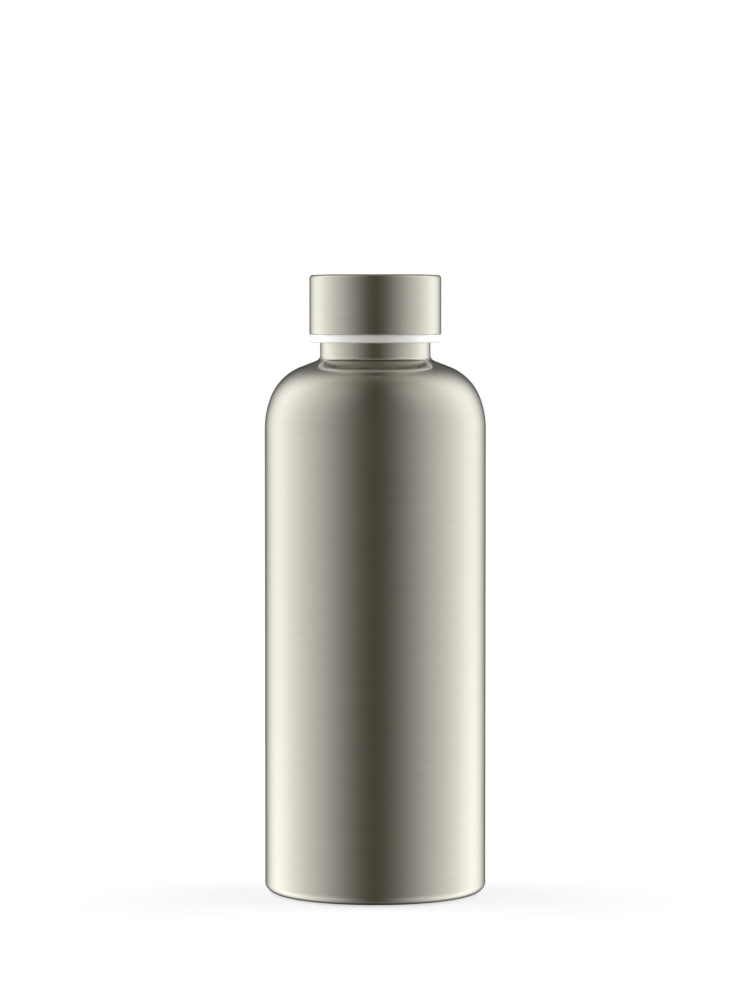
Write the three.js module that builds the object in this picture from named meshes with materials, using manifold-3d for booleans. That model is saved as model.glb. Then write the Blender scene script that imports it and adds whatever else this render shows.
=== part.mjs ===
// An insulated water bottle of about 500 ml: a double-walled vacuum flask in brushed stainless steel,
// with a steel-clad screw lid. Millimetres, +Z up, the origin at the centre of the foot that it stands on.
//
// The flask is two nested steel bottles joined at the mouth. The gap between them is a vacuum, pumped out
// through a hole in the outer bottom that a glass bead then seals, and a foil wrap on the inner bottle
// stops radiant heat. The lid is a threaded plastic insert with a foam-filled plug, inside a drawn steel
// shell. Its lower ring shows under the shell. A silicone gasket seals the insert to the mouth.

import * as THREE from "three";
import { mergeVertices } from "three/addons/utils/BufferGeometryUtils.js";
import Module from "manifold-3d";

const wasm = await Module();
wasm.setup();

// ---- Driving dimensions ----

const BODY_RADIUS = 36.5;
const NECK_RADIUS = 18.2;
const LID_RADIUS = 21.75;

const SHOULDER_Z = 153.6; // the straight wall ends here
const LIP_Z = 198.8; // top of the mouth
const LID_BOTTOM_Z = 181.95;
const SHELL_BOTTOM_Z = 184.65; // the lid's steel starts here, above the plastic ring
const LID_TOP_Z = 204.3;

const OUTER_WALL = 0.45;
const LINER_WALL = 0.4;
const VACUUM_GAP = 2.85;
const NECK_GAP = 1.15; // the vacuum narrows in the neck
const FIT = 0.1; // between faces that touch on the real bottle

// The shoulder is an easy curve, then a tighter one, then a shallow cone up to the neck.
const EASY_RADIUS = 28.6;
const EASY_ANGLE = THREE.MathUtils.degToRad(20.9);
const TIGHT_RADIUS = 17.65;
const CONE_SLOPE = THREE.MathUtils.degToRad(21.3); // below horizontal
const NECK_FILLET = 1.2;

const FOOT_CORNER = 3.3; // radius between the wall and the foot
const FOOT_INNER_RADIUS = 31.2;
const FOOT_INNER_CORNER = 0.9;
const FOOT_LIP_TOP = 2.3;

// A right-hand thread with two starts, so that the lid is free after little more than a turn.
const THREAD_LEAD = 8;
const THREAD_STARTS = 2;
const NECK_THREAD = { bottom: 186.6, height: 1.05, foot: 1.9, crest: 0.75, turns: 0.875 };
const LID_THREAD = { bottom: 185.2, height: 1.15, foot: 1.7, crest: 0.7, turns: 0.75 };
const LID_BORE_RADIUS = 19.7;
const THREAD_RUN_OUT = 0.09; // turns over which a ridge dies away at each end

const PLUG_RADIUS = 15.2;
const PLUG_BOTTOM_Z = 189.5;
const PLUG_WALL = 1.3;
const DECK_BOTTOM_Z = 200.7;
const DECK_TOP_Z = 202.3;
const GASKET_THICKNESS = 1.7;

const SEGMENTS = 40; // facets round a full turn
const TAU = 2 * Math.PI;
const QUARTER = Math.PI / 2;

// Radii that follow from the walls and the gaps.
const LINER_RADIUS = BODY_RADIUS - OUTER_WALL - VACUUM_GAP;
const LINER_NECK_RADIUS = NECK_RADIUS - OUTER_WALL - NECK_GAP;
const MOUTH_RADIUS = LINER_NECK_RADIUS - LINER_WALL;

// ---- Materials ----

function finish(color, roughness, metalness) {
  return new THREE.MeshStandardMaterial({ color, roughness, metalness });
}

const brushedSteel = finish(0xc4c0b7, 0.3, 1);
const plainSteel = finish(0xc4c4c0, 0.22, 1);
const aluminiumFoil = finish(0xd6d8da, 0.2, 1);
const whitePlastic = finish(0xf4f4f2, 0.35, 0);
const silicone = finish(0xe2e2de, 0.6, 0);
const foam = finish(0xefe9d8, 0.95, 0);
const getterMetal = finish(0x5c5c5e, 0.8, 0.6);
const sealGlass = finish(0x2d3b34, 0.15, 0);

// ---- Outlines: radius across, height up, traced anticlockwise round the material ----

const at = (radius, z) => new THREE.Vector2(radius, z);

function arc(centre, radius, from, to, steps) {
  const curve = new THREE.EllipseCurve(centre.x, centre.y, radius, radius, from, to, to < from);
  return curve.getPoints(steps);
}

// The shoulder from the straight wall to the foot of the neck, moved inwards by inset.
function shoulder(inset, neckRadius, fillet) {
  const easy = at(BODY_RADIUS - EASY_RADIUS, SHOULDER_Z);
  const inner = EASY_RADIUS - TIGHT_RADIUS;
  const tight = at(easy.x + inner * Math.cos(EASY_ANGLE), easy.y + inner * Math.sin(EASY_ANGLE));
  const coneAngle = QUARTER - CONE_SLOPE;
  const coneStart = at(
    tight.x + (TIGHT_RADIUS - inset) * Math.cos(coneAngle),
    tight.y + (TIGHT_RADIUS - inset) * Math.sin(coneAngle),
  );
  // The fillet touches the cone and the neck, so its centre lies its radius from both.
  const filletX = neckRadius + fillet;
  const filletZ =
    coneStart.y +
    (fillet - (filletX - coneStart.x) * Math.sin(CONE_SLOPE)) / Math.cos(CONE_SLOPE);
  return [
    ...arc(easy, EASY_RADIUS - inset, 0, EASY_ANGLE, 2),
    ...arc(tight, TIGHT_RADIUS - inset, EASY_ANGLE, coneAngle, 5).slice(1),
    ...arc(at(filletX, filletZ), fillet, Math.PI + coneAngle, Math.PI, 2),
  ];
}

// The outer bottle's wall from the inside of its foot to the top of its neck, moved inwards by inset.
function outerWall(inset) {
  const footOuterRadius = BODY_RADIUS - FOOT_CORNER;
  const footInnerRadius = FOOT_INNER_RADIUS + FOOT_INNER_CORNER;
  const innerCorner = at(footInnerRadius, FOOT_INNER_CORNER);
  return [
    at(FOOT_INNER_RADIUS + inset, FOOT_LIP_TOP),
    ...arc(innerCorner, FOOT_INNER_CORNER - inset, Math.PI, 1.5 * Math.PI, 2),
    ...arc(at(footOuterRadius, FOOT_CORNER), FOOT_CORNER - inset, -QUARTER, 0, 3),
    ...shoulder(inset, NECK_RADIUS - inset, NECK_FILLET + inset),
  ];
}

// ---- Solids ----

// Turns an outline round the Z axis. It either closes on itself or starts and ends on the axis.
function turned(outline) {
  const last = outline[outline.length - 1];
  const closed = outline[0].x === 0 && last.x === 0 ? outline : [...outline, outline[0].clone()];
  return new THREE.LatheGeometry(closed, SEGMENTS).rotateX(QUARTER);
}

// A mesh's geometry as a manifold-3d solid, for cuts and joins.
function solid(geometry) {
  const bare = geometry.index ? geometry.toNonIndexed() : geometry.clone();
  bare.deleteAttribute("normal");
  bare.deleteAttribute("uv");
  const merged = mergeVertices(bare, 1e-3);
  const mesh = new wasm.Mesh({
    numProp: 3,
    vertProperties: merged.attributes.position.array,
    triVerts: new Uint32Array(merged.index.array),
  });
  return new wasm.Manifold(mesh);
}

function geometryOf(made) {
  const mesh = made.getMesh();
  const geometry = new THREE.BufferGeometry();
  geometry.setAttribute("position", new THREE.BufferAttribute(mesh.vertProperties, 3));
  geometry.setIndex(new THREE.BufferAttribute(mesh.triVerts, 1));
  geometry.computeVertexNormals();
  return geometry;
}

// One ridge of a thread: a straight bar with the ridge's section, bent round a helix. It stands outwards
// from rootRadius, or inwards where inward is true, and sinks into the wall by root so that the two join.
function threadRidge(thread, rootRadius, startAngle, inward) {
  const root = 0.25;
  const steps = Math.round(thread.turns * SEGMENTS);
  const section = new THREE.Shape([
    at(-root, -thread.foot / 2),
    at(0, -thread.foot / 2),
    at(thread.height, -thread.crest / 2),
    at(thread.height, thread.crest / 2),
    at(0, thread.foot / 2),
    at(-root, thread.foot / 2),
  ]);
  const bar = new THREE.ExtrudeGeometry(section, { depth: 1, steps, bevelEnabled: false });
  const position = bar.attributes.position;
  for (let i = 0; i < position.count; i += 1) {
    const out = position.getX(i);
    const along = inward ? position.getZ(i) : 1 - position.getZ(i);
    const turns = along * thread.turns;
    const fromEnd = Math.min(turns, thread.turns - turns);
    const share = THREE.MathUtils.clamp(fromEnd / THREAD_RUN_OUT, 0.05, 1);
    const height = out > 0 ? out * share : out;
    const radius = rootRadius + (inward ? -height : height);
    const angle = startAngle + turns * TAU;
    const z = thread.bottom + turns * THREAD_LEAD + position.getY(i);
    position.setXYZ(i, radius * Math.sin(angle), -radius * Math.cos(angle), z);
  }
  return bar;
}

function threaded(geometry, thread, rootRadius, inward) {
  let made = solid(geometry);
  for (let start = 0; start < THREAD_STARTS; start += 1) {
    const startAngle = (start * TAU) / THREAD_STARTS;
    made = made.add(solid(threadRidge(thread, rootRadius, startAngle, inward)));
  }
  return geometryOf(made);
}

// ---- The flask ----

// Outer bottle: drawn in one piece from the rolled foot to the mouth, with the thread on its neck.
function outerBody() {
  const lipCorner = 0.7;
  const lipThickness = 0.55;
  const lipInnerRadius = LINER_NECK_RADIUS + FIT;
  const lipCentre = at(NECK_RADIUS - lipCorner, LIP_Z - lipCorner);
  const outline = [
    ...outerWall(0),
    ...arc(lipCentre, lipCorner, 0, QUARTER, 3),
    at(lipInnerRadius, LIP_Z),
    at(lipInnerRadius, LIP_Z - lipThickness),
    at(NECK_RADIUS - OUTER_WALL, LIP_Z - lipCorner),
    ...outerWall(OUTER_WALL).reverse(),
  ];
  return threaded(turned(outline), NECK_THREAD, NECK_RADIUS, false);
}

// Inner bottle: concentric with the outer one, its neck welded inside the lip.
const LINER_WELD_Z = 14; // the liner's bottom is welded on here
const LINER_FILLET = 2;

function innerBody() {
  const wall = (inset, neckRadius, fillet) => [
    at(BODY_RADIUS - inset, LINER_WELD_Z),
    ...shoulder(inset, neckRadius, fillet),
    at(neckRadius, LIP_Z - FIT),
  ];
  const outside = BODY_RADIUS - LINER_RADIUS;
  return turned([
    ...wall(outside, LINER_NECK_RADIUS, LINER_FILLET),
    ...wall(outside + LINER_WALL, MOUTH_RADIUS, LINER_FILLET + LINER_WALL).reverse(),
  ]);
}

const LINER_BOTTOM_Z = 7.5;

// Bottom of the inner bottle: a shallow cup with a raised centre that stiffens it.
function innerBottom() {
  const corner = 4;
  const centre = at(LINER_RADIUS - corner, LINER_BOTTOM_Z + corner);
  const raised = 1;
  const raisedRadius = 20;
  const slope = 4;
  const face = (lift) => [
    at(0, LINER_BOTTOM_Z + raised + lift),
    at(raisedRadius, LINER_BOTTOM_Z + raised + lift),
    at(raisedRadius + slope, LINER_BOTTOM_Z + lift),
    ...arc(centre, corner - lift, -QUARTER, 0, 3),
    at(LINER_RADIUS - lift, LINER_WELD_Z - FIT),
  ];
  return turned([...face(0), ...face(LINER_WALL).reverse()]);
}

const FOIL_THICKNESS = 0.1;

// Foil wrapped round the straight part of the inner bottle.
function foilWrap() {
  const inside = LINER_RADIUS + FIT;
  const bottom = LINER_WELD_Z + 1;
  const top = SHOULDER_Z - 2;
  return turned([
    at(inside + FOIL_THICKNESS, bottom),
    at(inside + FOIL_THICKNESS, top),
    at(inside, top),
    at(inside, bottom),
  ]);
}

// Foil disc under the inner bottle.
function foilDisc() {
  const radius = 28;
  const top = LINER_BOTTOM_Z - FIT;
  const bottom = top - FOIL_THICKNESS;
  return turned([at(0, bottom), at(radius, bottom), at(radius, top), at(0, top)]);
}

// Outer bottom: a pan welded inside the foot. Its centre is dished upwards round the pumping hole.
const PAN = { underside: 2.4, thickness: 0.5, flange: 0.5, flangeBottom: 0.8 };
const DISH = { rise: 1.6, radius: 3.6, slope: 2.8 };
const PUMP_HOLE_RADIUS = 1;

function outerBottom() {
  const radius = FOOT_INNER_RADIUS - FIT;
  const dished = PAN.underside + DISH.rise;
  const top = PAN.underside + PAN.thickness;
  return turned([
    at(PUMP_HOLE_RADIUS, dished),
    at(DISH.radius, dished),
    at(DISH.radius + DISH.slope, PAN.underside),
    at(radius - PAN.flange, PAN.underside),
    at(radius - PAN.flange, PAN.flangeBottom),
    at(radius, PAN.flangeBottom),
    at(radius, top - PAN.thickness),
    at(radius - PAN.thickness, top),
    at(DISH.radius + DISH.slope, top),
    at(DISH.radius, dished + PAN.thickness),
    at(PUMP_HOLE_RADIUS, dished + PAN.thickness),
  ]);
}

// Solder-glass bead that melted into the pumping hole and closed it.
function sealBead() {
  const dished = PAN.underside + DISH.rise - FIT;
  const beadRadius = 3.1;
  const stem = PUMP_HOLE_RADIUS - 0.2;
  const above = PAN.thickness + 0.5;
  return turned([
    at(0, dished - 1.1),
    at(beadRadius * 0.7, dished - 0.95),
    at(beadRadius, dished - 0.4),
    at(beadRadius - 0.2, dished),
    at(stem, dished),
    at(stem, dished + above - 0.2),
    at(0, dished + above),
  ]);
}

// Cover disc glued into the pan's flange. It hides the bead, and a pressed channel stiffens it.
function baseCover() {
  const radius = FOOT_INNER_RADIUS - FIT - PAN.flange - FIT;
  const thickness = 0.5;
  const underside = 1.1;
  const channel = { inner: 18, outer: 29.6, depth: 0.4, slope: 0.8 };
  const face = (z) => [
    at(0, z),
    at(channel.inner, z),
    at(channel.inner + channel.slope, z + channel.depth),
    at(channel.outer - channel.slope, z + channel.depth),
    at(channel.outer, z),
    at(radius, z),
  ];
  return turned([...face(underside), ...face(underside + thickness).reverse()]);
}

// The getter soaks up what gas is left in the vacuum. A clip spot-welded to the pan holds it.
const GETTER = { fromAxis: 17, radius: 4, thickness: 1.9 };
const CLIP = { thickness: 0.35, width: 5, foot: 3 };

function getterPellet() {
  const edge = 0.3;
  return turned([
    at(0, 0),
    at(GETTER.radius - edge, 0),
    at(GETTER.radius, edge),
    at(GETTER.radius, GETTER.thickness - edge),
    at(GETTER.radius - edge, GETTER.thickness),
    at(0, GETTER.thickness),
  ]);
}

function getterClip() {
  const inner = GETTER.radius + FIT;
  const outer = inner + CLIP.thickness;
  const reach = outer + CLIP.foot;
  const height = GETTER.thickness + 3 * FIT + CLIP.thickness;
  const strap = new THREE.Shape([
    at(-reach, 0),
    at(-inner, 0),
    at(-inner, height - CLIP.thickness),
    at(inner, height - CLIP.thickness),
    at(inner, 0),
    at(reach, 0),
    at(reach, CLIP.thickness),
    at(outer, CLIP.thickness),
    at(outer, height),
    at(-outer, height),
    at(-outer, CLIP.thickness),
    at(-reach, CLIP.thickness),
  ]);
  const band = new THREE.ExtrudeGeometry(strap, { depth: CLIP.width, bevelEnabled: false });
  return band.translate(0, 0, -CLIP.width / 2).rotateX(QUARTER);
}

// ---- The lid ----

const SHELL_WALL = 0.5;
const SHELL_TOP = 0.6;
const SKIRT_RADIUS = LID_RADIUS - SHELL_WALL - FIT;
// The shell's bead, which sits in the insert's groove.
const SNAP = { z: 186.7, half: 0.3, ramp: 0.35, depth: 0.2 };

// Steel shell: a drawn cup over the insert, held by a rolled-in bead near its edge.
function lidShell() {
  const corner = 1;
  const crown = { drop: 0.2, radius: 16.8 }; // the top is flat to this radius, then falls a little
  const rim = at(LID_RADIUS - corner, LID_TOP_Z - crown.drop - corner);
  const inside = LID_RADIUS - SHELL_WALL;
  const ceiling = LID_TOP_Z - SHELL_TOP;
  return turned([
    at(inside, SHELL_BOTTOM_Z),
    at(LID_RADIUS, SHELL_BOTTOM_Z),
    ...arc(rim, corner, 0, QUARTER, 4),
    at(crown.radius, LID_TOP_Z),
    at(0, LID_TOP_Z),
    at(0, ceiling),
    at(inside - SHELL_WALL, ceiling),
    at(inside, ceiling - SHELL_WALL),
    at(inside, SNAP.z + SNAP.half + SNAP.ramp),
    at(inside - SNAP.depth, SNAP.z + SNAP.half),
    at(inside - SNAP.depth, SNAP.z - SNAP.half),
    at(inside, SNAP.z - SNAP.half - SNAP.ramp),
  ]);
}

// Threaded insert: the ring that shows below the shell, the skirt, the deck and the hollow plug, in one
// moulding.
function lidInsert() {
  const ringRadius = LID_RADIUS - 0.17;
  const ringCorner = 0.7;
  const ringBevel = 0.2;
  const edge = 0.4;
  const groove = SNAP.depth + FIT;
  const plugCorner = 0.8;
  const bead = { z: 198.4, half: 0.2, ramp: 0.3, out: 0.35 }; // keeps the gasket on
  return threaded(
    turned([
      at(LID_BORE_RADIUS + edge, LID_BOTTOM_Z),
      ...arc(at(ringRadius - ringCorner, LID_BOTTOM_Z + ringCorner), ringCorner, -QUARTER, 0, 3),
      at(ringRadius, SHELL_BOTTOM_Z - FIT - ringBevel),
      at(ringRadius - ringBevel, SHELL_BOTTOM_Z - FIT),
      at(SKIRT_RADIUS, SHELL_BOTTOM_Z - FIT),
      at(SKIRT_RADIUS, SNAP.z - SNAP.half - SNAP.ramp - FIT),
      at(SKIRT_RADIUS - groove, SNAP.z - SNAP.half - FIT),
      at(SKIRT_RADIUS - groove, SNAP.z + SNAP.half + FIT),
      at(SKIRT_RADIUS, SNAP.z + SNAP.half + SNAP.ramp + FIT),
      at(SKIRT_RADIUS, DECK_TOP_Z - edge),
      at(SKIRT_RADIUS - edge, DECK_TOP_Z),
      at(PLUG_RADIUS - PLUG_WALL, DECK_TOP_Z),
      at(PLUG_RADIUS - PLUG_WALL, PLUG_BOTTOM_Z + PLUG_WALL + edge),
      at(PLUG_RADIUS - PLUG_WALL - edge, PLUG_BOTTOM_Z + PLUG_WALL),
      at(0, PLUG_BOTTOM_Z + PLUG_WALL),
      at(0, PLUG_BOTTOM_Z),
      ...arc(at(PLUG_RADIUS - plugCorner, PLUG_BOTTOM_Z + plugCorner), plugCorner, -QUARTER, 0, 3),
      at(PLUG_RADIUS, bead.z - bead.half - bead.ramp),
      at(PLUG_RADIUS + bead.out, bead.z - bead.half),
      at(PLUG_RADIUS + bead.out, bead.z + bead.half),
      at(PLUG_RADIUS, bead.z + bead.half + FIT),
      at(PLUG_RADIUS, DECK_BOTTOM_Z),
      at(LID_BORE_RADIUS, DECK_BOTTOM_Z),
      at(LID_BORE_RADIUS, LID_BOTTOM_Z + edge),
    ]),
    LID_THREAD,
    LID_BORE_RADIUS,
    true,
  );
}

// Foam puck that fills the plug.
function lidFoam() {
  const radius = PLUG_RADIUS - PLUG_WALL - 0.3;
  const bottom = PLUG_BOTTOM_Z + PLUG_WALL + FIT;
  const top = DECK_TOP_Z - FIT;
  const edge = 0.6;
  return turned([
    at(0, bottom),
    at(radius - edge, bottom),
    at(radius, bottom + edge),
    at(radius, top),
    at(0, top),
  ]);
}

// Disc welded over the foam, under the shell's ceiling.
function foamCover() {
  const radius = SKIRT_RADIUS - 1;
  const bottom = DECK_TOP_Z + FIT;
  const top = LID_TOP_Z - SHELL_TOP - FIT;
  const edge = 0.3;
  return turned([
    at(0, bottom),
    at(radius, bottom),
    at(radius, top - edge),
    at(radius - edge, top),
    at(0, top),
  ]);
}

// Gasket: a flat ring squeezed between the deck and the mouth, with a thin lip that centres it there.
function lidGasket() {
  const top = DECK_BOTTOM_Z - FIT;
  const bottom = top - GASKET_THICKNESS;
  const outside = LID_BORE_RADIUS - 0.35;
  const inside = PLUG_RADIUS + 0.15;
  const lip = { inner: MOUTH_RADIUS - 0.42, outer: MOUTH_RADIUS - 0.15, drop: 0.85 };
  const edge = 0.3;
  return turned([
    at(inside, bottom),
    at(lip.inner, bottom - 0.1),
    at(lip.inner, bottom - lip.drop),
    at(lip.outer, bottom - lip.drop),
    at(lip.outer, bottom),
    at(outside - edge, bottom),
    at(outside, bottom + edge),
    at(outside, top - edge),
    at(outside - edge, top),
    at(inside, top),
  ]);
}

// ---- The assembly ----

function piece(name, geometry, material) {
  const mesh = new THREE.Mesh(geometry, material);
  mesh.name = name;
  return mesh;
}

const flask = new THREE.Group();
flask.add(
  piece("outer_body", outerBody(), brushedSteel),
  piece("inner_body", innerBody(), plainSteel),
  piece("inner_bottom", innerBottom(), plainSteel),
  piece("foil_wrap", foilWrap(), aluminiumFoil),
  piece("foil_disc", foilDisc(), aluminiumFoil),
  piece("outer_bottom", outerBottom(), plainSteel),
  piece("seal_bead", sealBead(), sealGlass),
  piece("base_cover", baseCover(), brushedSteel),
);

const getterPlace = new THREE.Group();
getterPlace.position.set(GETTER.fromAxis, 0, PAN.underside + PAN.thickness + FIT);
const pellet = piece("getter_pellet", getterPellet(), getterMetal);
pellet.position.z = FIT;
getterPlace.add(pellet, piece("getter_clip", getterClip(), plainSteel));
flask.add(getterPlace);

const lid = new THREE.Group();
lid.add(
  piece("lid_shell", lidShell(), brushedSteel),
  piece("lid_insert", lidInsert(), whitePlastic),
  piece("lid_foam", lidFoam(), foam),
  piece("lid_foam_cover", foamCover(), whitePlastic),
  piece("lid_gasket", lidGasket(), silicone),
);

const bottle = new THREE.Group();
bottle.add(flask, lid);

export default bottle;
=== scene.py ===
"""The looks of an insulated water bottle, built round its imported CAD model.

The CAD pieces are faceted, so each has a finer piece here in its place, of nearly the same outline, with its
edges rounded. Outlines are in millimetres, and meshes, lights and the camera in metres. +Z is up.
"""

import math

import bpy
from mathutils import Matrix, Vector


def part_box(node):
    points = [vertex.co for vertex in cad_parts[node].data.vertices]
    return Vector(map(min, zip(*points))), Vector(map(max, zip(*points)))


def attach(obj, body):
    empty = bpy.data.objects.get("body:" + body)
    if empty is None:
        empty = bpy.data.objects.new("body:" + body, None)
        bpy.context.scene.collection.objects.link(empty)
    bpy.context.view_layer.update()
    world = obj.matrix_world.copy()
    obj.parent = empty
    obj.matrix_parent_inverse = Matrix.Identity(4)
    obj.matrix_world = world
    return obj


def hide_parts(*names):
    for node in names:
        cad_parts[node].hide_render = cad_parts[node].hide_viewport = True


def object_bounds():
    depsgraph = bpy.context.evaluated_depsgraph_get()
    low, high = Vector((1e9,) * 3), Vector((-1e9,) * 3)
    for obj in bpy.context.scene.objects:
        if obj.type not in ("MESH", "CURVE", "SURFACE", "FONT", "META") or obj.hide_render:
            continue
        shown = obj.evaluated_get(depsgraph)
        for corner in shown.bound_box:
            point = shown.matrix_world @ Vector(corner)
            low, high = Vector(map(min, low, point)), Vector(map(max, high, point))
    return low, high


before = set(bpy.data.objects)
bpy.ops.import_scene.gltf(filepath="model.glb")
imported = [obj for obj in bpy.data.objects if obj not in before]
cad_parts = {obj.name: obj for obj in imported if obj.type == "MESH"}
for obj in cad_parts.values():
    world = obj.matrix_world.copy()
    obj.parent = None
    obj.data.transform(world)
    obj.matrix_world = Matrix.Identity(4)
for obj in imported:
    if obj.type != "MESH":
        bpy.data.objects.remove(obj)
cad_low, cad_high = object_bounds()

MM = 0.001
SEGMENTS = 192  # facets round a full turn
FIT = 0.1  # between pieces that touch on the real bottle


def reach(node):
    """How far a CAD piece reaches from the axis, in millimetres."""
    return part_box(node)[1].x / MM


def low(node):
    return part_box(node)[0].z / MM


def high(node):
    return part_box(node)[1].z / MM


# ---- Sizes, in millimetres ----

BODY_RADIUS = reach("outer_body")
LINER_RADIUS = reach("inner_body")
LID_RADIUS = reach("lid_shell")
LIP_Z = high("outer_body")
LID_TOP_Z = high("lid_shell")
SHELL_BOTTOM_Z = low("lid_shell")
LID_BOTTOM_Z = low("lid_insert")

NECK_RADIUS = 18.2
OUTER_WALL = 0.45
LINER_WALL = 0.4
LINER_NECK_RADIUS = 16.6
MOUTH_RADIUS = LINER_NECK_RADIUS - LINER_WALL

SHOULDER_Z = 153.6  # the straight wall ends here
EASY_RADIUS = 28.6
EASY_ANGLE = 20.9
TIGHT_RADIUS = 17.65
CONE_SLOPE = 21.3  # degrees below horizontal
NECK_FILLET = 2.1
LINER_FILLET = 2.0

FOOT_CORNER = 3.3
FOOT_SPREAD = 3.9  # the corner runs further across the foot than up the wall
FOOT_INNER_RADIUS = 31.2
FOOT_INNER_CORNER = 0.9
FOOT_LIP_TOP = 2.3

THREAD_LEAD = 8.0
THREAD_STARTS = 2
NECK_THREAD = {"bottom": 186.6, "height": 1.05, "foot": 1.9, "turns": 0.875}
LID_THREAD = {"bottom": 185.2, "height": 1.15, "foot": 1.7, "turns": 0.75}
THREAD_RUN_OUT = 0.09  # turns over which a ridge dies away at each end
THREAD_AHEAD = 0.25  # turns from the first ridge's bottom end to the X axis
RIDGE_FULLNESS = 1.25  # how much the rolled ridge's crest is flattened
RIDGE_POWER = 1.5  # how hollow its flanks are
THREAD_STEP = 0.12  # between the outline's points along a thread
NECK_THREAD_ZONE = (184.5, 196.5)
LID_THREAD_ZONE = (193.0, 183.4)
LID_BORE_RADIUS = 19.7
LID_LIP_RADIUS = 19.4  # a small lip at the bore's mouth, just clear of the neck's thread

LINER_WELD_Z = 14.0
LINER_BOTTOM_Z = low("inner_bottom")

PLUG_RADIUS = 15.2
PLUG_BOTTOM_Z = 189.5
PLUG_WALL = 1.3
DECK_BOTTOM_Z = 200.7
DECK_TOP_Z = 202.3
SHELL_WALL = 0.5
SHELL_TOP = 0.6
SKIRT_RADIUS = LID_RADIUS - SHELL_WALL - FIT
SNAP_Z = 186.7
SNAP_HALF = 0.3
SNAP_RAMP = 0.35
SNAP_DEPTH = 0.2


# ---- Camera and studio ----

CAMERA_DISTANCE = 1.355
CAMERA_HEIGHT = 0.194
CAMERA_ASIDE = -0.0001
CAMERA_PITCH = 2.7085  # degrees down
LENS = 147.75


def make_camera():
    data = bpy.data.cameras.new("camera")
    data.lens = LENS
    camera = bpy.data.objects.new("camera", data)
    camera.location = (CAMERA_ASIDE, -CAMERA_DISTANCE, CAMERA_HEIGHT)
    camera.rotation_euler = (math.radians(90 - CAMERA_PITCH), 0, 0)
    bpy.context.scene.collection.objects.link(camera)
    bpy.context.scene.camera = camera


# The studio's soft light, by direction, as shares of its peak. ROUND_LIGHT goes round the bottle, in degrees
# from the camera's side: dark in front, brightest behind the sides, and dark again behind.
PEAK_LIGHT = 1.82
ROUND_LIGHT = (
    (0, 0.0),
    (12, 0.026),
    (25, 0.097),
    (40, 0.225),
    (60, 0.418),
    (80, 0.579),
    (98, 0.758),
    (110, 0.932),
    (121, 1.0),
    (129, 0.968),
    (138, 0.81),
    (148, 0.52),
    (158, 0.205),
    (166, 0.05),
    (176, 0.0),
)
# UP_LIGHT goes upwards, in degrees above the horizon: it fades out overhead and underfoot.
UP_LIGHT = (
    (-90, 0.02),
    (-80, 0.08),
    (-70, 0.27),
    (-60, 0.62),
    (-50, 0.88),
    (-40, 1.0),
    (-28, 1.0),
    (-14, 0.94),
    (-5, 0.82),
    (25, 0.82),
    (35, 0.80),
    (45, 0.72),
    (55, 0.556),
    (65, 0.362),
    (75, 0.175),
    (85, 0.03),
    (90, 0.0),
)
LEAN = 0.7  # how far the light leans: higher up in front of the bottle than behind it
# FILL_LIGHT is a little warmer light from everywhere, in degrees from the camera's side over the top to the
# back.
FILL_LIGHT = (
    (0, 0.0501),
    (30, 0.049),
    (50, 0.042),
    (65, 0.047),
    (78, 0.057),
    (90, 0.069),
    (100, 0.068),
    (115, 0.04),
    (135, 0.025),
    (160, 0.025),
    (180, 0.035),
)
WARM = (1.08, 1.0, 0.76)
# A dim panel high up behind the bottle, by direction round and upwards as above, shows in the top of the lid.
BACK_LIGHT = (
    (152, 0.0),
    (164, 0.12),
    (174, 0.17),
    (180, 0.17),
)
HIGH_LIGHT = (
    (20, 0.0),
    (33, 0.25),
    (50, 0.25),
    (64, 0.7),
    (72, 1.0),
    (90, 0.0),
)
BOUNCE = 2.75  # how many times brighter the light is for matt surfaces: a device, for the white ring
BACKDROP = 1.02  # brightness of the plain backdrop, which only the camera sees


def half_turn(stops):
    """Stops in degrees from 0 to 180, as shares of a ramp."""
    return [(angle / 180, light) for angle, light in stops]


def from_below(stops):
    """Stops in degrees from -90 to 90, as shares of a ramp."""
    return [(0.5 + angle / 180, light) for angle, light in stops]


def ramp(nodes, links, place, stops):
    """A ramp with these (place, brightness) stops. Returns its output socket."""
    node = nodes.new("ShaderNodeValToRGB")
    elements = node.color_ramp.elements
    while len(elements) < len(stops):
        elements.new(0.5)
    for element, (position, light) in zip(elements, stops):
        element.position = position
        element.color = (light, light, light, 1)
    links.new(place, node.inputs[0])
    return node.outputs[0]


def maths(nodes, links, operation, *inputs):
    """A Math node fed by sockets or numbers. Returns its output socket."""
    node = nodes.new("ShaderNodeMath")
    node.operation = operation
    for socket, value in zip(node.inputs, inputs):
        if isinstance(value, (int, float)):
            socket.default_value = value
        else:
            links.new(value, socket)
    return node.outputs[0]


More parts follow.
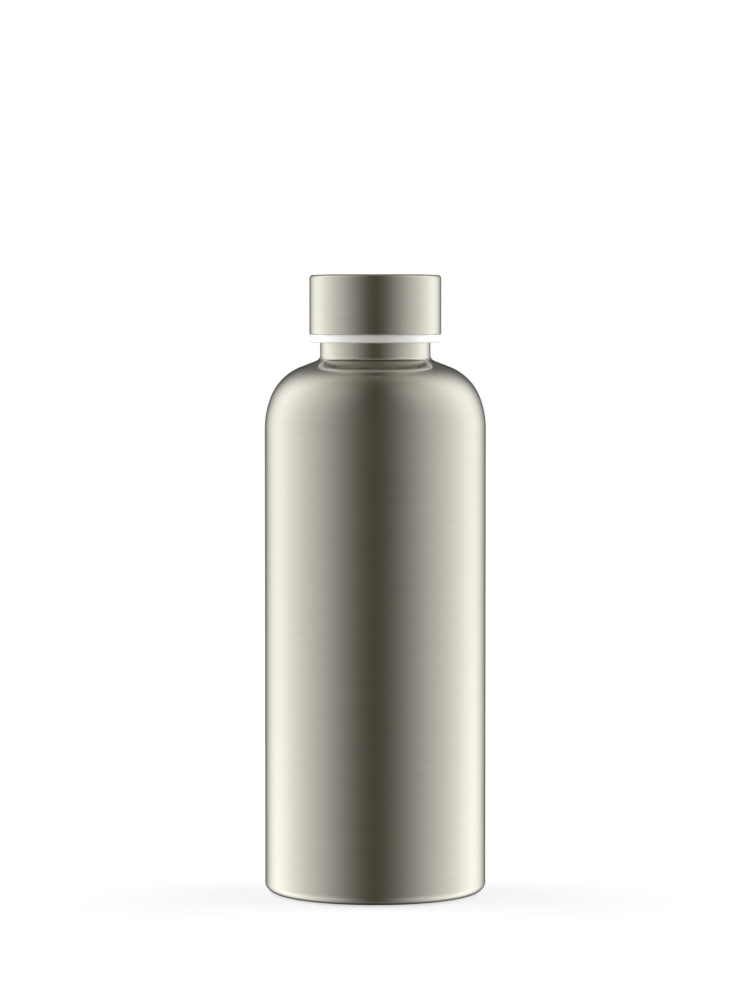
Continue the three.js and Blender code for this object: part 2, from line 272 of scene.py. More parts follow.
def make_world():
    """Soft light on everything, and plain white behind the bottle."""
    world = bpy.data.worlds.new("studio")
    bpy.context.scene.world = world
    world.use_nodes = True
    nodes, links = world.node_tree.nodes, world.node_tree.links
    nodes.clear()
    direction = nodes.new("ShaderNodeTexCoord").outputs["Generated"]
    split = nodes.new("ShaderNodeSeparateXYZ")
    links.new(direction, split.inputs[0])
    x, y, z = split.outputs
    towards_camera = maths(nodes, links, "MULTIPLY", y, -1.0)
    turn = maths(nodes, links, "ARCTAN2", x, towards_camera)
    aside = maths(nodes, links, "DIVIDE", maths(nodes, links, "ABSOLUTE", turn), math.pi)
    level = maths(nodes, links, "SUBTRACT", 1.0, maths(nodes, links, "MULTIPLY", z, z))
    back = maths(nodes, links, "MULTIPLY", y, level)
    lean = maths(nodes, links, "MULTIPLY_ADD", back, LEAN, 1.0)
    rise = maths(nodes, links, "ARCSINE", maths(nodes, links, "MULTIPLY", z, lean))
    height = maths(nodes, links, "MULTIPLY_ADD", rise, 1 / math.pi, 0.5)
    round_light = ramp(nodes, links, aside, half_turn(ROUND_LIGHT))
    up_light = ramp(nodes, links, height, from_below(UP_LIGHT))
    away = maths(nodes, links, "DIVIDE", maths(nodes, links, "ARCCOSINE", towards_camera), math.pi)
    fill = ramp(nodes, links, away, half_turn(FILL_LIGHT))
    total = nodes.new("ShaderNodeVectorMath")
    total.operation = "MULTIPLY_ADD"
    links.new(round_light, total.inputs[0])
    links.new(up_light, total.inputs[1])
    links.new(scaled(nodes, links, fill, *WARM), total.inputs[2])
    panel = nodes.new("ShaderNodeVectorMath")
    panel.operation = "MULTIPLY_ADD"
    links.new(ramp(nodes, links, aside, half_turn(BACK_LIGHT)), panel.inputs[0])
    links.new(ramp(nodes, links, height, from_below(HIGH_LIGHT)), panel.inputs[1])
    links.new(total.outputs[0], panel.inputs[2])
    path = nodes.new("ShaderNodeLightPath")
    light = nodes.new("ShaderNodeBackground")
    matt = maths(nodes, links, "MINIMUM", path.outputs["Diffuse Depth"], 1.0)
    strength = maths(nodes, links, "MULTIPLY_ADD", matt, (BOUNCE - 1) * PEAK_LIGHT, PEAK_LIGHT)
    links.new(strength, light.inputs["Strength"])
    links.new(panel.outputs[0], light.inputs["Color"])
    white = nodes.new("ShaderNodeBackground")
    white.inputs["Color"].default_value = (1, 1, 1, 1)
    white.inputs["Strength"].default_value = BACKDROP
    both = nodes.new("ShaderNodeMixShader")
    links.new(path.outputs["Is Camera Ray"], both.inputs[0])
    links.new(light.outputs[0], both.inputs[1])
    links.new(white.outputs[0], both.inputs[2])
    out = nodes.new("ShaderNodeOutputWorld")
    links.new(both.outputs[0], out.inputs["Surface"])


FLOOR_SIZE = 8.0  # metres
FLOOR_COLOUR = (0.544, 0.547, 0.584)
FLOOR_GLOW = 0.375


def make_floor():
    """A light table: a pale floor that also glows, so that the bottle's shadow on it stays faint."""
    half = FLOOR_SIZE / 2
    z = cad_low.z
    mesh = bpy.data.meshes.new("floor")
    corners = [(-half, -half, z), (half, -half, z), (half, half, z), (-half, half, z)]
    mesh.from_pydata(corners, [], [(0, 1, 2, 3)])
    floor = bpy.data.objects.new("floor", mesh)
    bpy.context.scene.collection.objects.link(floor)
    material = bpy.data.materials.new("floor")
    material.use_nodes = True
    shader = material.node_tree.nodes["Principled BSDF"]
    shader.inputs["Base Color"].default_value = (*FLOOR_COLOUR, 1)
    shader.inputs["Roughness"].default_value = 0.9
    shader.inputs["Specular IOR Level"].default_value = 0.0
    shader.inputs["Emission Color"].default_value = (1, 1, 1, 1)
    shader.inputs["Emission Strength"].default_value = FLOOR_GLOW
    mesh.materials.append(material)
    floor.visible_glossy = False
    floor.visible_diffuse = False


# ---- Outlines: (radius, height) points, anticlockwise round the material ----


def arc(centre, radius, start, end, steps):
    """Points on an arc between two angles in degrees."""
    angles = [math.radians(start + (end - start) * i / steps) for i in range(steps + 1)]
    return [(centre[0] + radius * math.cos(a), centre[1] + radius * math.sin(a)) for a in angles]


def rounded(corners, steps=4):
    """The outline through these corners, each (radius, height) or (radius, height, rounding). It closes on
    itself, unless it starts and ends on the axis."""
    points = []
    for i, corner in enumerate(corners):
        here = Vector(corner[:2])
        rounding = corner[2] if len(corner) > 2 else 0
        back = Vector(corners[i - 1][:2]) - here
        on = Vector(corners[(i + 1) % len(corners)][:2]) - here
        if not rounding:
            points.append(tuple(here))
            continue
        opening = back.angle(on)
        run = min(rounding / math.tan(opening / 2), 0.49 * back.length, 0.49 * on.length)
        rounding = run * math.tan(opening / 2)
        back.normalize()
        on.normalize()
        centre = here + (back + on).normalized() * rounding / math.sin(opening / 2)
        first = here + back * run - centre
        last = here + on * run - centre
        sweep = math.pi - opening
        for step in range(steps + 1):
            share = step / steps
            spoke = first * math.sin((1 - share) * sweep) + last * math.sin(share * sweep)
            points.append(tuple(centre + spoke / math.sin(sweep)))
    return points


def rounded_run(points, rounding):
    """The bends of an open run of points, rounded, without its two ends."""
    corners = [points[0], *((x, z, rounding) for x, z in points[1:-1]), points[-1]]
    return rounded(corners)[1:-1]


def straight(start, end, step):
    """Evenly spaced points from start to end, both included."""
    count = max(1, round(math.dist(start, end) / step))
    across, up = end[0] - start[0], end[1] - start[1]
    return [(start[0] + across * i / count, start[1] + up * i / count) for i in range(count + 1)]


def shoulder(inset, neck_radius, fillet):
    """The shoulder from the straight wall to the foot of the neck, moved inwards by inset."""
    easy = (BODY_RADIUS - EASY_RADIUS, SHOULDER_Z)
    inner = EASY_RADIUS - TIGHT_RADIUS
    turn = math.radians(EASY_ANGLE)
    tight = (easy[0] + inner * math.cos(turn), easy[1] + inner * math.sin(turn))
    cone_angle = 90 - CONE_SLOPE
    eased = arc(easy, EASY_RADIUS - inset, 0, EASY_ANGLE, 10)
    tightened = arc(tight, TIGHT_RADIUS - inset, EASY_ANGLE, cone_angle, 20)
    cone_x, cone_z = tightened[-1]
    slope = math.radians(CONE_SLOPE)
    x = neck_radius + fillet
    z = cone_z + (fillet - (x - cone_x) * math.sin(slope)) / math.cos(slope)
    return eased + tightened[1:] + arc((x, z), fillet, 180 + cone_angle, 180, 8)


def outer_wall(inset):
    """The outer bottle's wall from the inside of its foot to the foot of its neck, moved inwards by inset."""
    inner_corner = (FOOT_INNER_RADIUS + FOOT_INNER_CORNER, FOOT_INNER_CORNER)
    foot_x = BODY_RADIUS - FOOT_SPREAD
    corner = [
        (foot_x + (FOOT_SPREAD - inset) * x, FOOT_CORNER + (FOOT_CORNER - inset) * z)
        for x, z in arc((0, 0), 1, -90, 0, 16)
    ]
    return [
        (FOOT_INNER_RADIUS + inset, FOOT_LIP_TOP),
        *arc(inner_corner, FOOT_INNER_CORNER - inset, 180, 270, 6),
        *corner,
        *shoulder(inset, NECK_RADIUS - inset, NECK_FILLET + inset),
    ]


# ---- Meshes ----


SHARP_ANGLE = 35  # degrees between faces, from which the edge between them is shaded sharp


def finish_mesh(name, points, faces):
    """An object from points in millimetres, shaded smooth except across sharp edges."""
    mesh = bpy.data.meshes.new(name)
    mesh.from_pydata([(x * MM, y * MM, z * MM) for x, y, z in points], [], faces)
    mesh.shade_smooth()
    mesh.set_sharp_from_angle(angle=math.radians(SHARP_ANGLE))
    piece = bpy.data.objects.new(name, mesh)
    bpy.context.scene.collection.objects.link(piece)
    return piece


def keep_lengths(piece, lengths):
    """Stores how far along its outline each point lies, in metres, for the brush lines to follow."""
    attribute = piece.data.attributes.new("along", "FLOAT", "POINT")
    attribute.data.foreach_set("value", lengths)


def turned(name, outline, swell=None, centre=(0, 0)):
    """A piece turned round the Z axis. swell(angle, radius, height) is how far a point moves outwards."""
    on_axis = outline[0][0] == 0 and outline[-1][0] == 0
    points, rings, along = [], [], []
    travelled = 0.0
    for i, (radius, z) in enumerate(outline):
        if i:
            travelled += math.dist(outline[i - 1], outline[i])
        count = 1 if radius == 0 else SEGMENTS
        rings.append(range(len(points), len(points) + count))
        for j in range(count):
            angle = math.tau * j / SEGMENTS
            out = radius + (swell(angle, radius, z) if swell else 0)
            points.append((centre[0] + out * math.cos(angle), centre[1] + out * math.sin(angle), z))
            along.append(travelled * MM)
    faces = []
    pairs = list(zip(rings, rings[1:])) + ([] if on_axis else [(rings[-1], rings[0])])
    for lower, upper in pairs:
        for j in range(SEGMENTS):
            corners = [
                lower[j % len(lower)],
                lower[(j + 1) % len(lower)],
                upper[(j + 1) % len(upper)],
                upper[j % len(upper)],
            ]
            unlike = list(dict.fromkeys(corners))
            if len(unlike) > 2:
                faces.append(unlike)
    piece = finish_mesh(name, points, faces)
    keep_lengths(piece, along)
    return piece


def thread(form, root_radius, inward):
    """How far a thread's rolled ridges stand from the wall at root_radius, as a swell for turned()."""

    def swell(angle, radius, z):
        if abs(radius - root_radius) > 0.01:
            return 0
        ridge = 0
        for start in range(THREAD_STARTS):
            around = (angle / math.tau + THREAD_AHEAD - start / THREAD_STARTS) % 1
            if around > form["turns"]:
                continue
            off = abs(z - form["bottom"] - around * THREAD_LEAD) / (form["foot"] / 2)
            end = min(around, form["turns"] - around) / THREAD_RUN_OUT
            if off < 1:
                crest = min(1, RIDGE_FULLNESS * math.cos(off * math.pi / 2) ** RIDGE_POWER)
                ridge = max(ridge, crest * math.sin(min(1, end) * math.pi / 2))
        return (-1 if inward else 1) * ridge * form["height"]

    return swell


# ---- Materials ----


def new_material(name):
    material = bpy.data.materials.new(name)
    material.use_nodes = True
    tree = material.node_tree
    return material, tree.nodes, tree.links, tree.nodes["Principled BSDF"]


def scaled(nodes, links, vector, *scale):
    node = nodes.new("ShaderNodeVectorMath")
    node.operation = "MULTIPLY"
    links.new(vector, node.inputs[0])
    node.inputs[1].default_value = scale
    return node.outputs[0]


def noise(nodes, links, vector, scale=1.0, detail=2.0):
    node = nodes.new("ShaderNodeTexNoise")
    node.inputs["Scale"].default_value = scale
    node.inputs["Detail"].default_value = detail
    links.new(vector, node.inputs["Vector"])
    return node.outputs["Fac"]


def spread(nodes, links, value, low_value, high_value, low_in=0.3, high_in=0.7):
    """Maps a noise's middle range to another range."""
    node = nodes.new("ShaderNodeMapRange")
    node.inputs["From Min"].default_value = low_in
    node.inputs["From Max"].default_value = high_in
    node.inputs["To Min"].default_value = low_value
    node.inputs["To Max"].default_value = high_value
    links.new(value, node.inputs["Value"])
    return node.outputs[0]


def blend_colours(nodes, links, share, first, second):
    node = nodes.new("ShaderNodeMix")
    node.data_type = "RGBA"
    links.new(share, node.inputs["Factor"])
    node.inputs["A"].default_value = (*first, 1)
    node.inputs["B"].default_value = (*second, 1)
    return node.outputs["Result"]


def bump(nodes, links, shader, height, strength, distance):
    node = nodes.new("ShaderNodeBump")
    node.inputs["Strength"].default_value = strength
    node.inputs["Distance"].default_value = distance
    links.new(height, node.inputs["Height"])
    links.new(node.outputs[0], shader.inputs["Normal"])


def lines_round_axis(nodes, links, streaks, pitch):
    """Coordinates in which noise becomes lines round the axis: streaks is how many a line breaks into over a
    radian, and pitch is the distance between lines, in metres."""
    place = nodes.new("ShaderNodeTexCoord").outputs["Object"]
    flat = scaled(nodes, links, place, 1, 1, 0)
    unit = nodes.new("ShaderNodeVectorMath")
    unit.operation = "NORMALIZE"
    links.new(flat, unit.inputs[0])
    wide = scaled(nodes, links, unit.outputs[0], streaks, streaks, 0)
    along = nodes.new("ShaderNodeAttribute")
    along.attribute_name = "along"
    step = maths(nodes, links, "DIVIDE", along.outputs["Fac"], pitch)
    lift = nodes.new("ShaderNodeCombineXYZ")
    links.new(step, lift.inputs["Z"])
    total = nodes.new("ShaderNodeVectorMath")
    total.operation = "ADD"
    links.new(wide, total.inputs[0])
    links.new(lift.outputs[0], total.inputs[1])
    return total.outputs[0]


FINE_LINES = 0.65  # share of the fine brush lines, and the broad ones have the rest
FINE_STREAKS, BROAD_STREAKS = 5, 1.5  # how many a line breaks into over a radian
BROAD_PITCH = 9  # times the distance between the fine lines
LINE_BUMP, LINE_DEPTH = 0.077, 0.00002
LINE_COLOURS = (0.18, 0.82)  # how far the lines go from the dark colour to the light one
LINE_ROUGHNESS = 0.019
CLOUD_ROUGHNESS = 0.015


def brushed_steel(name, dark, light, roughness, line=0.0003):
    """Steel brushed round its axis: its lines' colours lie between dark and light, and line is the distance
    between the fine ones, in metres."""
    material, nodes, links, shader = new_material(name)
    fine = noise(nodes, links, lines_round_axis(nodes, links, FINE_STREAKS, line), detail=3)
    broad_place = lines_round_axis(nodes, links, BROAD_STREAKS, line * BROAD_PITCH)
    broad = noise(nodes, links, broad_place, detail=2)
    place = nodes.new("ShaderNodeTexCoord").outputs["Object"]
    cloud = noise(nodes, links, place, scale=45, detail=3)
    fine_part = maths(nodes, links, "MULTIPLY", fine, FINE_LINES)
    lines = maths(nodes, links, "MULTIPLY_ADD", broad, 1 - FINE_LINES, fine_part)
    colour = blend_colours(nodes, links, spread(nodes, links, lines, *LINE_COLOURS), dark, light)
    links.new(colour, shader.inputs["Base Color"])
    grain = spread(nodes, links, lines, -LINE_ROUGHNESS, LINE_ROUGHNESS)
    haze = spread(nodes, links, cloud, roughness - CLOUD_ROUGHNESS, roughness + CLOUD_ROUGHNESS)
    links.new(maths(nodes, links, "ADD", grain, haze), shader.inputs["Roughness"])
    shader.inputs["Metallic"].default_value = 1.0
    shader.inputs["Anisotropic"].default_value = 0.5
    shader.inputs["Anisotropic Rotation"].default_value = 0.25
    tangent = nodes.new("ShaderNodeTangent")
    tangent.direction_type = "RADIAL"
    tangent.axis = "Z"
    links.new(tangent.outputs[0], shader.inputs["Tangent"])
    bump(nodes, links, shader, fine, LINE_BUMP, LINE_DEPTH)
    return material


def moulded(name, dark, light, roughness, grain, depth, subsurface=0.0, metallic=0.0):
    """Moulded plastic, rubber or glass: a faint cloudiness in its colour, and a grain of this size and depth,
    both in metres."""
    material, nodes, links, shader = new_material(name)
    place = nodes.new("ShaderNodeTexCoord").outputs["Object"]
    cloud = noise(nodes, links, place, scale=120, detail=3)
    pores = noise(nodes, links, place, scale=1 / grain, detail=2)
    colour = blend_colours(nodes, links, spread(nodes, links, cloud, 0, 1, 0.2, 0.8), dark, light)
    links.new(colour, shader.inputs["Base Color"])
    haze = spread(nodes, links, cloud, roughness - 0.05, roughness + 0.05, 0.1, 0.9)
    links.new(haze, shader.inputs["Roughness"])
    shader.inputs["Metallic"].default_value = metallic
    shader.inputs["Subsurface Weight"].default_value = subsurface
    shader.inputs["Subsurface Radius"].default_value = (1, 1, 1)
    shader.inputs["Subsurface Scale"].default_value = 0.003
    bump(nodes, links, shader, pores, 0.25, depth)
    return material


def crinkled(name, dark, light, roughness, size, depth, metallic):
    """Foil, sintered grain or foam: cells of this size, pressed to this depth, both in metres."""
    material, nodes, links, shader = new_material(name)
    place = nodes.new("ShaderNodeTexCoord").outputs["Object"]
    cells = nodes.new("ShaderNodeTexVoronoi")
    cells.inputs["Scale"].default_value = 1 / size
    links.new(place, cells.inputs["Vector"])
    soft = noise(nodes, links, place, scale=0.4 / size, detail=4)
    pattern = maths(nodes, links, "MULTIPLY", cells.outputs["Distance"], soft)
    colour = blend_colours(nodes, links, spread(nodes, links, pattern, 0, 1, 0.05, 0.4), dark, light)
    links.new(colour, shader.inputs["Base Color"])
    links.new(spread(nodes, links, soft, roughness - 0.06, roughness + 0.06), shader.inputs["Roughness"])
    shader.inputs["Metallic"].default_value = metallic
    bump(nodes, links, shader, pattern, 0.6, depth)
    return material


CHAMPAGNE_DARK, CHAMPAGNE_LIGHT = (0.529, 0.515, 0.460), (0.581, 0.566, 0.506)
STEEL_DARK, STEEL_LIGHT = (0.66, 0.66, 0.65), (0.74, 0.74, 0.73)

brushed = brushed_steel("brushed_steel", CHAMPAGNE_DARK, CHAMPAGNE_LIGHT, 0.18)
spun = brushed_steel("spun_steel", STEEL_DARK, STEEL_LIGHT, 0.3, line=0.0005)
# Real plastic is neither partly metallic nor all subsurface: together they give the ring its brightness.
white_plastic = moulded(
    "white_plastic",
    (0.91, 0.93, 0.98),
    (0.93, 0.95, 1.0),
    roughness=0.3,
    grain=0.0004,
    depth=0.000005,
    subsurface=1.0,
    metallic=0.38,
)
silicone = moulded(
    "silicone",
    (0.8, 0.8, 0.79),
    (0.86, 0.86, 0.85),
    roughness=0.55,
    grain=0.0003,
    depth=0.00002,
    subsurface=0.3,
)
solder_glass = moulded(
    "solder_glass",
    (0.03, 0.045, 0.04),
    (0.07, 0.09, 0.08),
    roughness=0.12,
    grain=0.001,
    depth=0.00003,
)
foil = crinkled(
    "foil",
    (0.75, 0.75, 0.76),
    (0.88, 0.88, 0.89),
    roughness=0.2,
    size=0.006,
    depth=0.0002,
    metallic=1.0,
)
foam = crinkled(
    "foam",
    (0.84, 0.81, 0.72),
    (0.94, 0.92, 0.86),
    roughness=0.9,
    size=0.0015,
    depth=0.0003,
    metallic=0.0,
)
sintered = crinkled(
    "sintered",
    (0.14, 0.14, 0.15),
    (0.3, 0.3, 0.31),
    roughness=0.8,
    size=0.0003,
    depth=0.00008,
    metallic=0.6,
)


# ---- Pieces ----


def settle(piece, node, body, material):
    """The piece stands for a CAD node and moves with that node's body."""
    piece.data.materials.append(material)
    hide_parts(node)
    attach(piece, body)


def make_outer_bottle():
    lip_corner = 0.7
    lip_inner = LINER_NECK_RADIUS + FIT
    outside = outer_wall(0)
    below = LIP_Z - 5  # of two points that only steer the rounding before them
    threads = straight(*((NECK_RADIUS, z) for z in NECK_THREAD_ZONE), THREAD_STEP)
    lip_centre = (NECK_RADIUS - lip_corner, LIP_Z - lip_corner)
    lip = rounded(
        [
            (lip_inner, LIP_Z, 0.18),
            (lip_inner, LIP_Z - 0.55, 0.1),
            (NECK_RADIUS - OUTER_WALL, LIP_Z - lip_corner, 0.2),
            (NECK_RADIUS - OUTER_WALL, below),
            (NECK_RADIUS, below),
        ]
    )[:-2]
    outline = [
        *outside,
        *threads,
        *arc(lip_centre, lip_corner, 0, 90, 8),
        *lip,
        *reversed(outer_wall(OUTER_WALL)),
    ]
    piece = turned("outer_bottle", outline, thread(NECK_THREAD, NECK_RADIUS, False))
    settle(piece, "outer_body", "flask", brushed)


def make_inner_bottle():
    def wall(inset, neck_radius, fillet):
        return [
            (BODY_RADIUS - inset, LINER_WELD_Z),
            *shoulder(inset, neck_radius, fillet),
            (neck_radius, LIP_Z - FIT),
        ]

    gap = BODY_RADIUS - LINER_RADIUS
    outside = wall(gap, LINER_NECK_RADIUS, LINER_FILLET)
    inside = wall(gap + LINER_WALL, MOUTH_RADIUS, LINER_FILLET + LINER_WALL)
    piece = turned("inner_bottle", outside + inside[::-1])
    settle(piece, "inner_body", "flask", spun)


def make_inner_bottom():
    corner = 4.0
    raised, raised_radius, slope, flat_end, bend = 1.0, 20.0, 4.0, 26.0, 1.5

    def face(lift):
        z = LINER_BOTTOM_Z + lift
        centre = (LINER_RADIUS - corner, LINER_BOTTOM_Z + corner)
        step = [(0, z + raised), (raised_radius, z + raised), (raised_radius + slope, z), (flat_end, z)]
        return [
            step[0],
            *rounded_run(step, bend),
            *arc(centre, corner - lift, -90, 0, 10),
            (LINER_RADIUS - lift, LINER_WELD_Z - FIT),
        ]

    piece = turned("inner_bottom_cup", face(0) + face(LINER_WALL)[::-1])
    settle(piece, "inner_bottom", "flask", spun)


def make_foils():
    inside, thickness = LINER_RADIUS + FIT, reach("foil_wrap") - LINER_RADIUS - FIT
    bottom, top = low("foil_wrap"), high("foil_wrap")
    depth, step = 0.03, 1.5

    def crinkle(angle, radius, z):
        if radius < inside + thickness / 2:
            return 0
        return depth * math.sin(11 * angle + 0.4 * z) * math.sin(0.23 * z + 3 * math.sin(3 * angle))

    outline = [
        *straight((inside + thickness, bottom), (inside + thickness, top), step),
        (inside, top),
        (inside, bottom),
    ]
    settle(turned("foil_sleeve", outline, crinkle), "foil_wrap", "flask", foil)
    radius, low_z, high_z = reach("foil_disc"), low("foil_disc"), high("foil_disc")
    disc = [
        (0, low_z),
        *straight((1, low_z), (radius, low_z), step),
        *straight((radius, high_z), (1, high_z), step),
        (0, high_z),
    ]
    settle(turned("foil_round", disc), "foil_disc", "flask", foil)


PAN_UNDERSIDE, PAN_THICKNESS, PAN_FLANGE, PAN_FLANGE_BOTTOM = 2.4, 0.5, 0.5, 0.8
DISH_RISE, DISH_RADIUS, DISH_SLOPE = 1.6, 3.6, 2.8
PUMP_HOLE_RADIUS = 1.0


def make_outer_bottom():
    radius = reach("outer_bottom")
    dished = PAN_UNDERSIDE + DISH_RISE
    top = PAN_UNDERSIDE + PAN_THICKNESS
    outline = rounded(
        [
            (PUMP_HOLE_RADIUS, dished, 0.12),
            (DISH_RADIUS, dished, 1.0),
            (DISH_RADIUS + DISH_SLOPE, PAN_UNDERSIDE, 1.5),
            (radius - PAN_FLANGE, PAN_UNDERSIDE, 0.15),
            (radius - PAN_FLANGE, PAN_FLANGE_BOTTOM, 0.15),
            (radius, PAN_FLANGE_BOTTOM, 0.15),
            (radius, top, 0.6),
            (DISH_RADIUS + DISH_SLOPE, top, 1.0),
            (DISH_RADIUS, dished + PAN_THICKNESS, 1.5),
            (PUMP_HOLE_RADIUS, dished + PAN_THICKNESS, 0.12),
        ]
    )
    settle(turned("outer_bottom_pan", outline), "outer_bottom", "flask", spun)


def make_seal_bead():
    dished = PAN_UNDERSIDE + DISH_RISE - FIT
    radius = reach("seal_bead")
    stem = PUMP_HOLE_RADIUS - 0.2
    outline = rounded(
        [
            (0, low("seal_bead")),
            (radius * 0.6, low("seal_bead"), 0.9),
            (radius, dished - 0.4, 0.3),
            (radius - 0.2, dished, 0.1),
            (stem, dished, 0.1),
            (stem, high("seal_bead"), 0.5),
            (0, high("seal_bead")),
        ],
        steps=6,
    )
    settle(turned("seal_glass_bead", outline), "seal_bead", "flask", solder_glass)


def make_base_cover():
    radius, thickness, underside = reach("base_cover"), 0.5, low("base_cover")
    inner, outer, depth, slope = 18.0, 29.6, 0.4, 0.8  # of the pressed channel
    bend, edge = 0.6, 0.12

    def face(z):
        return [
            (0, z),
            (inner, z, bend),
            (inner + slope, z + depth, bend),
            (outer - slope, z + depth, bend),
            (outer, z, 0.4),
            (radius, z, edge),
        ]

    outline = rounded(face(underside) + face(underside + thickness)[::-1])
    settle(turned("base_disc", outline), "base_cover", "flask", brushed)


def make_getter():
    low_corner, high_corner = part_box("getter_pellet")
    centre = (low_corner + high_corner) / 2 / MM
    radius = (high_corner.x - low_corner.x) / 2 / MM
    bottom, top = low("getter_pellet"), high("getter_pellet")
    outline = rounded([(0, bottom), (radius, bottom, 0.35), (radius, top, 0.35), (0, top)])
    pellet = turned("getter_tablet", outline, centre=(centre.x, centre.y))
    settle(pellet, "getter_pellet", "flask", sintered)

    thickness, foot, tip, inner_bend, foot_bend, outer_bend = 0.35, 3.0, 0.08, 0.12, 0.3, 0.4
    inner = radius + FIT
    outer = inner + thickness
    strap_low, strap_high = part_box("getter_clip")
    floor, roof = strap_low.z / MM, strap_high.z / MM
    reach_out = outer + foot
    outline = rounded(
        [
            (-reach_out, floor, tip),
            (-inner, floor, inner_bend),
            (-inner, roof - thickness, inner_bend),
            (inner, roof - thickness, inner_bend),
            (inner, floor, inner_bend),
            (reach_out, floor, tip),
            (reach_out, floor + thickness, tip),
            (outer, floor + thickness, foot_bend),
            (outer, roof, outer_bend),
            (-outer, roof, outer_bend),
            (-outer, floor + thickness, foot_bend),
            (-reach_out, floor + thickness, tip),
        ]
    )
    half = (strap_high.y - strap_low.y) / 2 / MM
    count = len(outline)
    points = [(centre.x + x, side * half, z) for side in (-1, 1) for x, z in outline]
    faces = [(i, (i + 1) % count, count + (i + 1) % count, count + i) for i in range(count)]
    faces += [tuple(range(count))[::-1], tuple(range(count, 2 * count))]
    clip = finish_mesh("getter_strap", points, faces)
    keep_lengths(clip, [x * MM for x, _, _ in points])
    settle(clip, "getter_clip", "flask", spun)


def make_lid_shell():
    inside = LID_RADIUS - SHELL_WALL
    ceiling = LID_TOP_Z - SHELL_TOP
    crown, crown_radius, crown_rounding = 0.2, 16.8, 40
    outline = rounded(
        [
            (0, LID_TOP_Z),
            (0, ceiling),
            (inside, ceiling, 0.5),
            (inside, SNAP_Z + SNAP_HALF + SNAP_RAMP, 0.2),
            (inside - SNAP_DEPTH, SNAP_Z + SNAP_HALF, 0.2),
            (inside - SNAP_DEPTH, SNAP_Z - SNAP_HALF, 0.2),
            (inside, SNAP_Z - SNAP_HALF - SNAP_RAMP, 0.2),
            (inside, SHELL_BOTTOM_Z, 0.1),
            (LID_RADIUS, SHELL_BOTTOM_Z, 0.35),
            (LID_RADIUS, LID_TOP_Z - crown, 1.1),
            (crown_radius, LID_TOP_Z, crown_rounding),
        ],
        steps=6,
    )
    # The outline starts and ends on the axis, so its first point moves to the end.
    outline = outline[1:] + outline[:1]
    settle(turned("lid_cup", outline), "lid_shell", "lid", brushed)


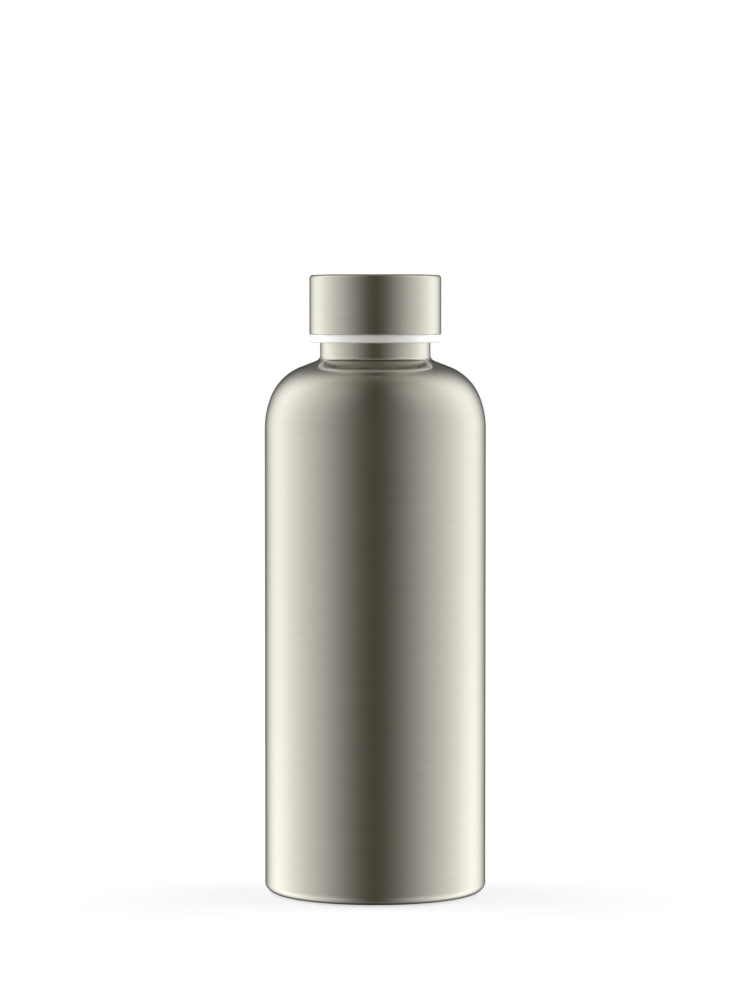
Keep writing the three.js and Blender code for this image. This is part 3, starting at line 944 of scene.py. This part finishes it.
def make_lid_insert():
    ring_radius = reach("lid_insert")
    edge = 0.4
    groove = SNAP_DEPTH + FIT
    bead_z, bead_half, bead_ramp, bead_out = 198.4, 0.2, 0.3, 0.35
    gate_radius, gate_depth, gate_slope = 2.2, 0.25, 0.4
    threads = straight(*((LID_BORE_RADIUS, z) for z in LID_THREAD_ZONE), THREAD_STEP)
    outline = rounded(
        [
            (0, PLUG_BOTTOM_Z + gate_depth),
            (gate_radius, PLUG_BOTTOM_Z + gate_depth, 0.2),
            (gate_radius + gate_slope, PLUG_BOTTOM_Z, 0.3),
            (PLUG_RADIUS, PLUG_BOTTOM_Z, 0.8),
            (PLUG_RADIUS, bead_z - bead_half - bead_ramp, 0.2),
            (PLUG_RADIUS + bead_out, bead_z - bead_half, 0.15),
            (PLUG_RADIUS + bead_out, bead_z + bead_half, 0.15),
            (PLUG_RADIUS, bead_z + bead_half + FIT, 0.1),
            (PLUG_RADIUS, DECK_BOTTOM_Z, 0.15),
            (LID_BORE_RADIUS, DECK_BOTTOM_Z, 0.4),
            *threads,
            (LID_BORE_RADIUS, LID_BOTTOM_Z + 1.0, 0.3),
            (LID_LIP_RADIUS, LID_BOTTOM_Z + 0.6, 0.2),
            (LID_LIP_RADIUS, LID_BOTTOM_Z, 0.2),
            (ring_radius, LID_BOTTOM_Z, 0.7),
            (ring_radius, SHELL_BOTTOM_Z - FIT, 0.2),
            (SKIRT_RADIUS, SHELL_BOTTOM_Z - FIT, 0.1),
            (SKIRT_RADIUS, SNAP_Z - SNAP_HALF - SNAP_RAMP - FIT, 0.2),
            (SKIRT_RADIUS - groove, SNAP_Z - SNAP_HALF - FIT, 0.2),
            (SKIRT_RADIUS - groove, SNAP_Z + SNAP_HALF + FIT, 0.2),
            (SKIRT_RADIUS, SNAP_Z + SNAP_HALF + SNAP_RAMP + FIT, 0.2),
            (SKIRT_RADIUS, DECK_TOP_Z, edge),
            (PLUG_RADIUS - PLUG_WALL, DECK_TOP_Z, 0.2),
            (PLUG_RADIUS - PLUG_WALL, PLUG_BOTTOM_Z + PLUG_WALL, edge),
            (0, PLUG_BOTTOM_Z + PLUG_WALL),
        ],
        steps=6,
    )
    piece = turned("lid_moulding", outline, thread(LID_THREAD, LID_BORE_RADIUS, True))
    settle(piece, "lid_insert", "lid", white_plastic)


def make_lid_filling():
    radius, bottom, top = reach("lid_foam"), low("lid_foam"), high("lid_foam")
    outline = rounded([(0, bottom), (radius, bottom, 0.8), (radius, top, 0.3), (0, top)])
    settle(turned("foam_puck", outline), "lid_foam", "lid", foam)
    radius, bottom, top = reach("lid_foam_cover"), low("lid_foam_cover"), high("lid_foam_cover")
    outline = rounded([(0, bottom), (radius, bottom, 0.2), (radius, top, 0.3), (0, top)])
    settle(turned("foam_lid", outline), "lid_foam_cover", "lid", white_plastic)


def make_gasket():
    top, thickness = high("lid_gasket"), 1.7
    bottom = top - thickness
    inside = PLUG_RADIUS + 0.15
    lip_inner, lip_outer, drop = MOUTH_RADIUS - 0.42, MOUTH_RADIUS - 0.15, 0.85
    outline = rounded(
        [
            (inside, bottom, 0.15),
            (lip_inner, bottom - 0.1, 0.15),
            (lip_inner, bottom - drop, 0.12),
            (lip_outer, bottom - drop, 0.12),
            (lip_outer, bottom, 0.12),
            (reach("lid_gasket"), bottom, 0.35),
            (reach("lid_gasket"), top, 0.35),
            (inside, top, 0.2),
        ]
    )
    settle(turned("gasket_ring", outline), "lid_gasket", "gasket", silicone)


bpy.context.scene.view_settings.view_transform = "Standard"
make_camera()
make_world()
make_floor()
make_outer_bottle()
make_inner_bottle()
make_inner_bottom()
make_foils()
make_outer_bottom()
make_seal_bead()
make_base_cover()
make_getter()
make_lid_shell()
make_lid_insert()
make_lid_filling()
make_gasket()
